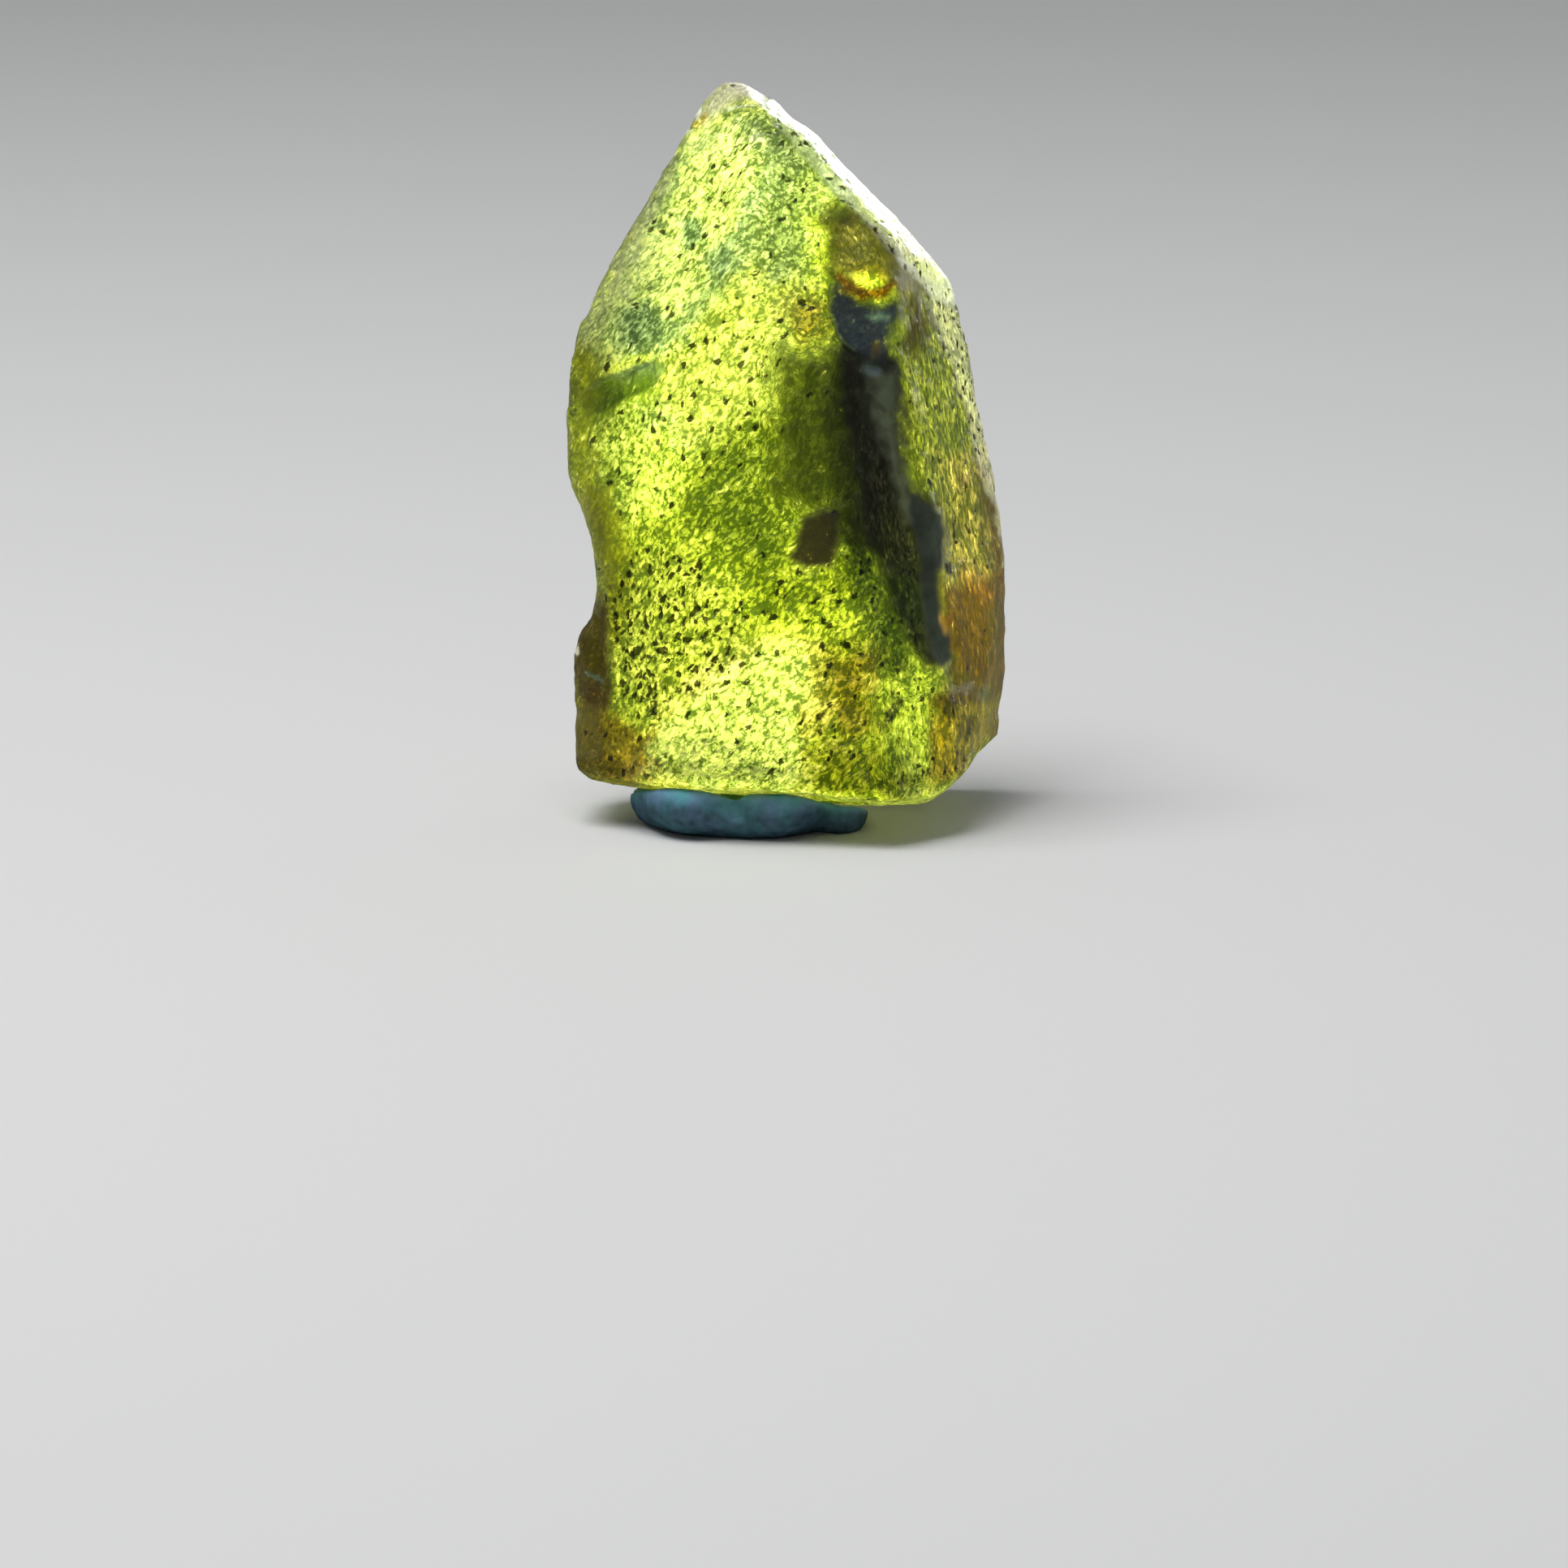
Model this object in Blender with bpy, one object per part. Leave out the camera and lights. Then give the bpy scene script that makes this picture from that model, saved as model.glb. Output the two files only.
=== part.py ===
"""A peridot crystal standing upright on the lump of putty that holds it.

The crystal is one solid: a block cut by its growth faces and rounded by etching, with
the hollows, swellings, chips and ledges of its surface. The putty is a short roll pressed
flat under the crystal's foot, with the crystal's print in its top.

The surface stands at z = 0, the viewer looks along +Y, and the origin lies under the
middle of the object's box. Sizes are in millimetres until to_metres().
"""

import math

import bmesh
import bpy
from mathutils import Matrix, Vector, noise

MILLIMETRE = 0.001
SHARP_ANGLE = math.radians(45.0)

# The crystal's skin
CRYSTAL_COLOUR = (0.52, 0.62, 0.07)
CRYSTAL_ROUGHNESS = 0.25
ROUGH_BLOCK = 90.0
SKIN_GRID = 0.38
SMOOTHING = 0.5
SMOOTHING_PASSES = 5
CRYSTAL_TRIANGLES = 7400

# The putty
PUTTY_COLOUR = (0.11, 0.2, 0.23)
PUTTY_ROUGHNESS = 0.6
PUTTY_GRID = 0.3
PUTTY_PASSES = 6
PUTTY_TRIANGLES = 1500
PRINT_GAP = 0.3

# Growth faces: azimuth of the outward normal, turned from the front towards the right,
# its elevation, and a point that the face passes through
GROWTH_FACES = {
    "front": (-8.0, 7.0, (-1.5, -5.6, 12.0)),
    "front_turn": (-25.0, 6.0, (-5.4, -4.7, 12.0)),
    "front_left": (-41.0, 5.0, (-7.6, -3.1, 12.0)),
    "left": (-97.0, -1.0, (-10.8, -0.9, 18.9)),
    "back_left": (-139.0, 2.0, (-7.2, 5.0, 15.0)),
    "back": (179.0, 1.0, (2.0, 6.7, 14.0)),
    "back_right": (136.0, 8.0, (9.8, 6.4, 14.0)),
    "right": (66.0, 11.0, (8.8, 0.3, 12.5)),
    "right_shoulder": (84.0, 15.0, (9.2, 5.0, 22.4)),
    "right_flank": (80.0, 0.0, (10.3, 3.0, 7.5)),
    "dark_bevel": (38.0, 12.0, (5.2, -4.9, 12.0)),
    "upper_left": (-45.5, 33.3, (-4.9, 5.0, 33.7)),
    "crown": (18.0, 34.0, (-0.4, -2.15, 27.95)),
    "upper_right": (88.0, 42.5, (-0.65, 3.1, 35.4)),
    "upper_back": (178.0, 22.0, (-2.7, 6.0, 35.6)),
    "upper_back_left": (-118.0, 20.8, (-9.9, 2.3, 25.6)),
    "tip": (35.0, 76.0, (-1.9, 4.3, 35.45)),
    "tip_left": (-80.0, 46.0, (-3.6, 5.0, 35.3)),
    "tip_right": (74.0, 58.0, (-1.2, 3.6, 35.35)),
    "foot": (-17.0, -75.0, (-0.8, -6.3, 2.6)),
    "heel": (-144.0, -77.5, (5.2, 1.1, 0.3)),
    "right_foot": (78.0, -46.0, (9.6, 0.5, 2.7)),
    "left_foot": (-100.0, -60.0, (-10.2, -1.0, 2.5)),
}

# Scoops out of the block, each the bowl of a stretched ball: azimuth and elevation of
# its axis, the point of the surface under its middle, half width, half height and depth
BALL_DETAIL = 5
SCOOP_LIFT = 0.8
SCOOPS = {
    "left_waist": (-92.0, 0.0, (-10.7, 0.4, 12.0), 6.2, 5.0, 1.45),
    "crown_cavity": (32.0, 30.0, (4.0, -2.5, 25.4), 1.7, 2.5, 0.95),
    "cavity_tail": (38.0, 16.0, (4.9, -3.3, 22.4), 1.1, 2.3, 0.5),
    "right_notch": (74.0, 4.0, (10.3, 3.0, 12.4), 2.0, 0.9, 0.3),
    "tip_chip": (-60.0, 40.0, (-4.6, 4.2, 34.1), 0.6, 0.6, 0.3),
    "base_chip": (-30.0, -10.0, (-8.4, -3.2, 3.4), 0.9, 0.8, 0.3),
    "heel_break": (160.0, -35.0, (0.5, 6.4, 2.0), 4.2, 2.2, 0.6),
    "back_break": (176.0, 2.0, (-2.6, 6.8, 20.5), 3.2, 4.4, 0.55),
}

# The small crystal grown on the lower left side: middle and half sizes
NUB_CENTRE = (-9.35, -0.3, 7.7)
NUB_SIZE = (1.2, 2.0, 2.3)

# Soft hollows, and swellings where the depth is negative: middle, half sizes and depth
HOLLOWS = {
    "front_dish": ((2.4, -5.4, 19.0), (3.2, 2.5, 5.5), 0.34),
    "front_swelling": ((-1.6, -6.6, 8.0), (5.0, 2.5, 5.0), -0.26),
    "left_dish": ((-6.9, -3.6, 14.5), (2.4, 2.4, 4.2), 0.22),
    "upper_left_dish": ((-5.6, 0.4, 28.2), (2.2, 2.6, 3.4), 0.24),
    "upper_left_swelling": ((-7.9, 0.0, 24.4), (1.9, 2.2, 1.8), -0.2),
    "crown_ridge": ((-1.9, -0.4, 30.3), (1.3, 2.6, 4.6), -0.2),
    "right_dish": ((8.7, -0.6, 15.5), (1.8, 2.2, 3.4), 0.26),
    "right_swelling": ((9.5, 0.4, 8.2), (2.2, 2.6, 2.8), -0.2),
    "lower_square": ((1.2, -6.3, 14.1), (0.9, 1.2, 1.3), 0.22),
    "back_dish": ((4.0, 6.6, 10.5), (3.6, 2.4, 4.4), 0.4),
    "back_left_dish": ((-8.3, 4.2, 16.0), (2.4, 2.6, 5.2), 0.36),
    "upper_back_swelling": ((-1.0, 5.4, 29.0), (3.6, 2.4, 3.4), -0.25),
}

# How quickly a groove or a ledge fades in from its ends
END_FADE = 5.0

# Grooves along the surface: the two ends, half width and depth
GROOVES = {
    "dark_strip": ((4.3, -4.2, 21.6), (8.3, -2.9, 5.6), 1.3, 0.34),
    "strip_corner": ((6.0, -3.2, 19.0), (7.6, -2.3, 13.0), 0.6, 0.12),
    "under_nub": ((-10.4, -1.6, 5.3), (-9.8, 1.6, 5.5), 0.5, 0.32),
    "beside_nub": ((-9.1, -2.0, 11.4), (-9.4, -2.1, 5.8), 0.45, 0.3),
    "right_foot_seam": ((7.0, -3.3, 6.6), (7.1, -3.4, 2.2), 0.4, 0.28),
    "tip_line": ((-2.9, 3.0, 34.7), (-1.0, 3.4, 34.7), 0.3, 0.16),
    "base_crease": ((-1.9, -6.6, 4.4), (1.6, -6.0, 3.2), 0.5, 0.2),
    "back_seam": ((2.0, 6.8, 24.0), (5.6, 6.8, 5.0), 0.6, 0.3),
}

# Ledges: the two ends of the sharp upper edge, height of the step and its depth
LEDGES = {
    "left_ledge": ((-10.0, -1.5, 22.0), (-6.3, -3.6, 23.8), 1.5, 0.42),
    "tip_ledge": ((-1.4, 2.6, 33.9), (0.4, 3.4, 33.4), 0.9, 0.2),
    "shoulder_ledge": ((8.1, 2.0, 23.4), (9.0, 4.6, 20.6), 1.6, 0.25),
    "back_ledge": ((-7.5, 5.0, 24.4), (2.6, 6.9, 25.6), 2.2, 0.4),
    "back_lower_ledge": ((2.0, 6.9, 16.0), (9.0, 6.0, 15.0), 2.0, 0.35),
}

# Waviness of the etched faces: wavelength and height
WAVES = ((4.2, 0.14), (1.8, 0.07))

# Upright ribs of the right and back sides, which wander a little from side to side
RIB_SPACING = 2.2
RIB_HEIGHT = 0.08
RIB_SIDE = Vector((0.8, 0.6, 0.0))
RIB_WANDER = 0.6
RIB_WANDER_LENGTH = 6.0

# Balls that make up the putty: middle and half sizes
PUTTY_BALLS = {
    "roll": ((-2.2, -1.2, 1.2), (5.7, 4.5, 2.0)),
    "left_hump": ((-4.6, -1.5, 1.5), (2.9, 4.4, 2.0)),
    "right_hump": ((-0.5, -1.6, 1.4), (3.0, 4.5, 1.9)),
    "right_end": ((2.5, -1.8, 0.8), (1.6, 2.3, 1.5)),
    "pressed_rim": ((-2.1, -0.6, 0.35), (5.5, 3.9, 0.9)),
}
PUTTY_WAVES = ((2.6, 0.16), (1.2, 0.06))

# Creases pressed into the putty: the two ends, half width and depth
CREASES = {
    "pinch": ((-2.6, -5.9, 2.4), (-2.5, -4.6, 0.0), 0.6, 0.18),
    "end_crease": ((1.9, -3.9, 1.7), (3.2, -3.0, 0.0), 0.35, 0.22),
    "end_fold": ((3.0, -3.2, 1.3), (3.9, -1.8, 0.2), 0.3, 0.18),
    "left_crease": ((-7.2, -3.0, 1.9), (-6.5, -3.6, 0.3), 0.4, 0.16),
    "back_crease": ((-4.0, 3.4, 2.0), (-3.4, 3.6, 0.0), 0.5, 0.25),
}


def clear_scene():
    for obj in list(bpy.data.objects):
        bpy.data.objects.remove(obj, do_unlink=True)


def outward(azimuth, elevation):
    turn, lift = math.radians(azimuth), math.radians(elevation)
    return Vector(
        (
            math.sin(turn) * math.cos(lift),
            -math.cos(turn) * math.cos(lift),
            math.sin(lift),
        )
    )


def mesh_object(name, shape):
    mesh = bpy.data.meshes.new(name)
    shape.to_mesh(mesh)
    shape.free()
    obj = bpy.data.objects.new(name, mesh)
    bpy.context.scene.collection.objects.link(obj)
    return obj


def apply_modifier(obj, kind, **settings):
    modifier = obj.modifiers.new(kind.title(), kind)
    for name, value in settings.items():
        setattr(modifier, name, value)
    bpy.context.view_layer.update()
    with bpy.context.temp_override(object=obj, active_object=obj):
        bpy.ops.object.modifier_apply(modifier=modifier.name)


def combine(obj, tool, operation):
    """Joins the tool to the object, or cuts it out, and removes the tool."""
    apply_modifier(obj, "BOOLEAN", operation=operation, solver="EXACT", object=tool)
    bpy.data.objects.remove(tool, do_unlink=True)


def decimate(obj, triangles):
    obj.data.calc_loop_triangles()
    ratio = triangles / len(obj.data.loop_triangles)
    apply_modifier(obj, "DECIMATE", ratio=min(1.0, ratio))


def even_skin(obj, grid, passes):
    """Replaces the mesh by one of even squares and takes the edge off every corner."""
    apply_modifier(obj, "REMESH", mode="VOXEL", voxel_size=grid)
    apply_modifier(obj, "SMOOTH", factor=SMOOTHING, iterations=passes)


def ball(name, centre, size, azimuth=0.0, elevation=0.0):
    """A stretched ball whose own -Y axis points along the azimuth and the elevation."""
    shape = bmesh.new()
    bmesh.ops.create_icosphere(shape, subdivisions=BALL_DETAIL, radius=1.0)
    place = (
        Matrix.Translation(centre)
        @ Matrix.Rotation(math.radians(azimuth), 4, "Z")
        @ Matrix.Rotation(math.radians(-elevation), 4, "X")
        @ Matrix.Diagonal((*size, 1.0))
    )
    shape.transform(place)
    return mesh_object(name, shape)


def grown_block():
    """The convex block that the growth faces bound."""
    block = bmesh.new()
    bmesh.ops.create_cube(block, size=ROUGH_BLOCK)
    for azimuth, elevation, point in GROWTH_FACES.values():
        cut = bmesh.ops.bisect_plane(
            block,
            geom=block.verts[:] + block.edges[:] + block.faces[:],
            plane_co=point,
            plane_no=outward(azimuth, elevation),
            clear_outer=True,
        )
        rim = [item for item in cut["geom_cut"] if isinstance(item, bmesh.types.BMEdge)]
        bmesh.ops.edgeloop_fill(block, edges=rim)
    bmesh.ops.recalc_face_normals(block, faces=block.faces[:])
    return mesh_object("peridot_crystal", block)


def scoop(obj, name):
    """Cuts a bowl that has the given half width, half height and depth at the surface."""
    azimuth, elevation, point, half_width, half_height, depth = SCOOPS[name]
    lift = SCOOP_LIFT * depth
    reach = depth + lift
    spread = 1.0 / math.sqrt(1.0 - (lift / reach) ** 2)
    centre = Vector(point) + outward(azimuth, elevation) * lift
    size = (half_width * spread, reach, half_height * spread)
    combine(obj, ball(name, centre, size, azimuth, elevation), "DIFFERENCE")


def bump(value):
    """1 in the middle and 0 from 1 on, with no corner anywhere."""
    return (1.0 - value * value) ** 2 if value < 1.0 else 0.0


def along(point, start, end):
    """The point of the line from start to end that is nearest, and how full it is there."""
    start, line = Vector(start), Vector(end) - Vector(start)
    share = (point - start).dot(line) / line.length_squared
    share = min(1.0, max(0.0, share))
    return start + line * share, min(1.0, END_FADE * min(share, 1.0 - share))


def hollow_depth(point, centre, size, depth):
    off = [(p - c) / s for p, c, s in zip(point, centre, size)]
    return depth * bump(math.sqrt(sum(value * value for value in off)))


def groove_depth(point, start, end, half_width, depth):
    nearest, fade = along(point, start, end)
    return depth * fade * bump((point - nearest).length / half_width)


def ledge_depth(point, start, end, height, depth):
    """Deep just under the line, and rising back to the surface below it."""
    nearest, fade = along(point, start, end)
    drop = nearest.z - point.z
    aside = math.hypot(point.x - nearest.x, point.y - nearest.y)
    if not 0.0 < drop < height or aside > height:
        return 0.0
    edge = min(1.0, drop / SKIN_GRID) * bump(aside / height)
    return depth * fade * edge * (1.0 - drop / height)


def waves(point, sizes):
    return sum(h * noise.noise(point / length) for length, h in sizes)


def ribs(point, normal):
    """Upright ribs on the right and the back, none on the front and the upper faces."""
    share = max(0.0, normal.dot(RIB_SIDE)) * max(0.0, 1.0 - 2.0 * abs(normal.z))
    wander = RIB_WANDER * noise.noise(point / RIB_WANDER_LENGTH)
    across = point.y - point.x + wander
    return RIB_HEIGHT * share * math.sin(math.tau * across / RIB_SPACING)


def crystal_relief(point, normal):
    """How far the surface lies outside the plain block, negative where it is sunk."""
    sunk = sum(hollow_depth(point, *spot) for spot in HOLLOWS.values())
    sunk += sum(groove_depth(point, *groove) for groove in GROOVES.values())
    sunk += sum(ledge_depth(point, *ledge) for ledge in LEDGES.values())
    return waves(point, WAVES) + ribs(point, normal) - sunk


def putty_relief(point, normal):
    sunk = sum(groove_depth(point, *crease) for crease in CREASES.values())
    return waves(point, PUTTY_WAVES) - sunk


def raise_surface(obj, relief):
    """Moves each point along its normal by what the relief says."""
    moves = [v.normal * relief(v.co, v.normal) for v in obj.data.vertices]
    for vertex, move in zip(obj.data.vertices, moves):
        vertex.co += move


def make_crystal():
    crystal = grown_block()
    for name in SCOOPS:
        scoop(crystal, name)
    combine(crystal, ball("nub", NUB_CENTRE, NUB_SIZE), "UNION")
    even_skin(crystal, SKIN_GRID, SMOOTHING_PASSES)
    raise_surface(crystal, crystal_relief)
    decimate(crystal, CRYSTAL_TRIANGLES)
    return crystal


def press_flat(obj):
    """Cuts the object off at the surface it stands on."""
    shape = bmesh.new()
    shape.from_mesh(obj.data)
    cut = bmesh.ops.bisect_plane(
        shape,
        geom=shape.verts[:] + shape.edges[:] + shape.faces[:],
        plane_co=(0.0, 0.0, 0.0),
        plane_no=(0.0, 0.0, -1.0),
        clear_outer=True,
    )
    rim = [item for item in cut["geom_cut"] if isinstance(item, bmesh.types.BMEdge)]
    bmesh.ops.edgeloop_fill(shape, edges=rim)
    bmesh.ops.triangulate(shape, faces=shape.faces[:])
    bmesh.ops.recalc_face_normals(shape, faces=shape.faces[:])
    shape.to_mesh(obj.data)
    shape.free()


def make_putty(crystal):
    names = list(PUTTY_BALLS)
    putty = ball("display_putty", *PUTTY_BALLS[names[0]])
    for name in names[1:]:
        combine(putty, ball(name, *PUTTY_BALLS[name]), "UNION")
    even_skin(putty, PUTTY_GRID, PUTTY_PASSES)
    raise_surface(putty, putty_relief)
    decimate(putty, PUTTY_TRIANGLES)
    printed = bpy.data.objects.new("print", crystal.data.copy())
    bpy.context.scene.collection.objects.link(printed)
    apply_modifier(printed, "DISPLACE", strength=PRINT_GAP, mid_level=0.0)
    combine(putty, printed, "DIFFERENCE")
    press_flat(putty)
    return putty


def centre_over_origin(objects):
    """Slides the objects so that the origin lies under the middle of their box."""
    points = [v.co for obj in objects for v in obj.data.vertices]
    low, high = (Vector(map(pick, zip(*points))) for pick in (min, max))
    middle = (low + high) / 2
    middle.z = low.z
    for obj in objects:
        obj.data.transform(Matrix.Translation(-middle))


def to_metres(objects):
    for obj in objects:
        obj.data.transform(Matrix.Scale(MILLIMETRE, 4))


def paint(obj, colour, roughness):
    material = bpy.data.materials.new(obj.name)
    material.use_nodes = True
    surface = material.node_tree.nodes["Principled BSDF"]
    surface.inputs["Base Color"].default_value = (*colour, 1.0)
    surface.inputs["Roughness"].default_value = roughness
    surface.inputs["Metallic"].default_value = 0.0
    obj.data.materials.clear()
    obj.data.materials.append(material)


def shade(obj):
    for polygon in obj.data.polygons:
        polygon.use_smooth = True
    obj.data.set_sharp_from_angle(angle=SHARP_ANGLE)


def main():
    clear_scene()
    crystal = make_crystal()
    putty = make_putty(crystal)
    centre_over_origin([crystal, putty])
    to_metres([crystal, putty])
    paint(crystal, CRYSTAL_COLOUR, CRYSTAL_ROUGHNESS)
    paint(putty, PUTTY_COLOUR, PUTTY_ROUGHNESS)
    shade(crystal)
    shade(putty)


main()
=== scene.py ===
import math

import bpy
import numpy as np
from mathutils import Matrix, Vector, noise


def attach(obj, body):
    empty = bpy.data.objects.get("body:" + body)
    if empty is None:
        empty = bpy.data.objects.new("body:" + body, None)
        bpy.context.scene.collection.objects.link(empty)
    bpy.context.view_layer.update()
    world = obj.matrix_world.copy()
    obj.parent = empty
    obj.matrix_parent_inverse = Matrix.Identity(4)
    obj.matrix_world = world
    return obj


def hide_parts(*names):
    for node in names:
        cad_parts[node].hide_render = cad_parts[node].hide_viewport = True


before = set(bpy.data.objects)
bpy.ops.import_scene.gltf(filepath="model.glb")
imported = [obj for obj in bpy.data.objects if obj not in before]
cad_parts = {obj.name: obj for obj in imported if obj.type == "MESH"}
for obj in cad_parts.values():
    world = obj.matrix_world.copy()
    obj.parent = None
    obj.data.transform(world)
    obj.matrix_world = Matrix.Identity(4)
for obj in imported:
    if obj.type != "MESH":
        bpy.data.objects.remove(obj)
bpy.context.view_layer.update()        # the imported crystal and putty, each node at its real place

# The looks of an etched peridot crystal that stands in a flattened roll of display putty.
# Places and sizes are in millimetres in the part's own frame, and become metres where a mesh needs them.

mm = 0.001


# The camera, at the photograph's angle and framing

cameraView = {
    "photoPixels": 1932,
    "pixel": 0.04,              # millimetres that one of the photograph's pixels covers at the aim
    "aim": (-0.31, 0.20, 1.72),
    "distance": 400.0,
    "lookDown": 12.0,
    "sensor": 36.0,
}

weldDistance = 0.002            # joins only the points that lie on each other

lookDown = math.radians(cameraView["lookDown"])
towardsCamera = np.array((0, -math.cos(lookDown), math.sin(lookDown)))
cameraUp = np.array((0, math.sin(lookDown), math.cos(lookDown)))


def makeCamera():
    data = bpy.data.cameras.new("camera")
    data.sensor_width = cameraView["sensor"]
    seenAcross = cameraView["photoPixels"] * cameraView["pixel"]
    data.lens = cameraView["sensor"] * cameraView["distance"] / seenAcross
    data.clip_start = 0.01
    data.clip_end = 10.0
    camera = bpy.data.objects.new("camera", data)
    bpy.context.scene.collection.objects.link(camera)
    camera.location = (Vector(cameraView["aim"]) + Vector(towardsCamera) * cameraView["distance"]) * mm
    camera.rotation_euler = (math.pi / 2 - lookDown, 0, 0)
    bpy.context.scene.camera = camera


# Working by hand: picking objects and finishing meshes

def pickOnly(piece):
    bpy.ops.object.select_all(action="DESELECT")
    piece.select_set(True)
    bpy.context.view_layer.objects.active = piece


def copyOfNode(nodeName, pieceName):
    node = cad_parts[nodeName]
    pickOnly(node)
    bpy.ops.object.duplicate()
    piece = bpy.context.active_object
    piece.name = pieceName
    piece.parent = None
    for label in list(piece.keys()):
        del piece[label]
    piece.data.materials.clear()
    bpy.ops.object.mode_set(mode="EDIT")
    bpy.ops.mesh.select_all(action="SELECT")
    bpy.ops.mesh.remove_doubles(threshold=weldDistance * mm)
    bpy.ops.mesh.normals_make_consistent(inside=False)
    bpy.ops.object.mode_set(mode="OBJECT")
    return piece


def finishWith(piece, kind, **settings):
    pickOnly(piece)
    modifier = piece.modifiers.new(kind.title(), kind)
    for name, value in settings.items():
        setattr(modifier, name, value)
    bpy.ops.object.modifier_apply(modifier=modifier.name)


def pointsOf(piece):
    flat = np.zeros(len(piece.data.vertices) * 3)
    piece.data.vertices.foreach_get("co", flat)
    return flat.reshape(-1, 3) / mm


def normalsOf(piece):
    flat = np.zeros(len(piece.data.vertices) * 3, np.float32)
    piece.data.vertex_normals.foreach_get("vector", flat)
    return flat.reshape(-1, 3).astype(float)


def raiseBy(piece, heights):
    moved = (pointsOf(piece) + normalsOf(piece) * heights[:, None]) * mm
    piece.data.vertices.foreach_set("co", moved.ravel())
    piece.data.update()


def keepOnPoints(piece, name, values):
    kind, field = ("FLOAT", "value") if values.ndim == 1 else ("FLOAT_VECTOR", "vector")
    attribute = piece.data.attributes.new(name, kind, "POINT")
    attribute.data.foreach_set(field, values.astype(np.float32).ravel())


# Node sheets: a wire is a socket that sums can be written with

class Wire:
    def __init__(self, finish, socket):
        self.finish = finish
        self.socket = socket

    def __add__(self, other):
        return self.finish.sum("ADD", self, other)

    __radd__ = __add__

    def __sub__(self, other):
        return self.finish.sum("SUBTRACT", self, other)

    def __rsub__(self, other):
        return self.finish.sum("SUBTRACT", other, self)

    def __mul__(self, other):
        return self.finish.sum("MULTIPLY", self, other)

    __rmul__ = __mul__

class Finish:
    def __init__(self, name):
        self.material = bpy.data.materials.new(name)
        self.material.use_nodes = True
        self.tree = self.material.node_tree
        self.tree.nodes.clear()

    def node(self, kind, settings=None, sockets=None, out=0):
        made = self.tree.nodes.new(kind)
        for name, value in (settings or {}).items():
            setattr(made, name, value)
        for name, value in (sockets or {}).items():
            if isinstance(value, Wire):
                self.tree.links.new(value.socket, made.inputs[name])
            else:
                made.inputs[name].default_value = value
        return Wire(self, made.outputs[out])

    def sum(self, operation, *values):
        return self.node("ShaderNodeMath", {"operation": operation}, dict(enumerate(values)))

    def place(self):
        spot = self.node("ShaderNodeTexCoord", out="Object")
        return self.scaled(spot, 1 / mm)

    def centred(self, vector):
        return self.shifted(vector, (-0.5, -0.5, -0.5))

    def scaled(self, vector, factor):
        return self.node("ShaderNodeVectorMath", {"operation": "SCALE"}, {0: vector, "Scale": factor})

    def shifted(self, vector, other):
        return self.node("ShaderNodeVectorMath", {"operation": "ADD"}, {0: vector, 1: other})

    def rough(self, vector, size, detail=2.0, roughness=0.5, out=0):
        return self.node("ShaderNodeTexNoise", None, {
            "Vector": vector, "Scale": 1 / size, "Detail": detail, "Roughness": roughness}, out)

    def cells(self, vector, out):
        return self.node("ShaderNodeTexVoronoi", None, {"Vector": vector, "Scale": 1.0}, out)

    def between(self, value, low, high, bottom=0.0, top=1.0):
        return self.node("ShaderNodeMapRange", {"interpolation_type": "SMOOTHSTEP"}, {
            "Value": value, "From Min": low, "From Max": high, "To Min": bottom, "To Max": top})

    def turned(self, vector, turn, size):
        return self.node("ShaderNodeMapping", {"vector_type": "TEXTURE"}, {
            "Vector": vector, "Rotation": [math.radians(angle) for angle in turn], "Scale": size})

    def painted(self, name, out="Color"):
        return self.node("ShaderNodeAttribute", {"attribute_name": name}, out=out)

    def split(self, vector, axis):
        return self.node("ShaderNodeSeparateXYZ", None, {0: vector}, axis)

    def otherEnd(self, wire, out):
        return Wire(self, wire.socket.node.outputs[out])

    def tinted(self, share, first, second, blend="MIX"):
        return self.node("ShaderNodeMix", {"data_type": "RGBA", "blend_type": blend, "clamp_factor": True}, {
            0: share, 6: first, 7: second}, 2)

    def blended(self, blend, first, second):
        return self.tinted(1.0, first, second, blend)

    def surface(self, shader, volume=None):
        sheet = self.tree.nodes.new("ShaderNodeOutputMaterial")
        self.tree.links.new(shader.socket, sheet.inputs["Surface"])
        if volume:
            self.tree.links.new(volume.socket, sheet.inputs["Volume"])
        return self.material


def colour(red, green, blue):
    return (red, green, blue, 1.0)


# The crystal's shape

crystalShape = {
    "grid": 0.26,                 # size of the mesh's faces, and half of it on the side that faces the camera
    "frontShare": 0.1,            # how far a face there has to point towards the camera
    "smoothing": 4,
    "hummocks": (1.3, 0.06),      # size and height of the etched skin's broad waves
    "ripples": (0.6, 0.045, (1.3, 1, 0.8), 4.2),     # of its ridges, with stretch and place in the noise
    "streaks": (0.5, 0.04, (0.8, 0.8, 3.2), 9.1),    # and of the upright ridges on the right side
    "calmed": 0.85,               # the share of the ridges that calm skin is without
    "stepRise": 0.12,             # how soon the skin comes up again on the high side of a broken edge
}

crystalPits = {
    "size": 0.34,
    "stretch": (0.8, 0.8, 1.1),
    "depth": 0.16,
    "place": 3.7,                 # where in the noise the pits are read
    "rarity": 0.64,               # the noise above which bare skin is pitted
    "crowding": 0.34,             # what full specks take off that
    "edge": 0.16,
    "leastSpecked": 0.125,        # skin less specked than this has no pits
}

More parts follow.
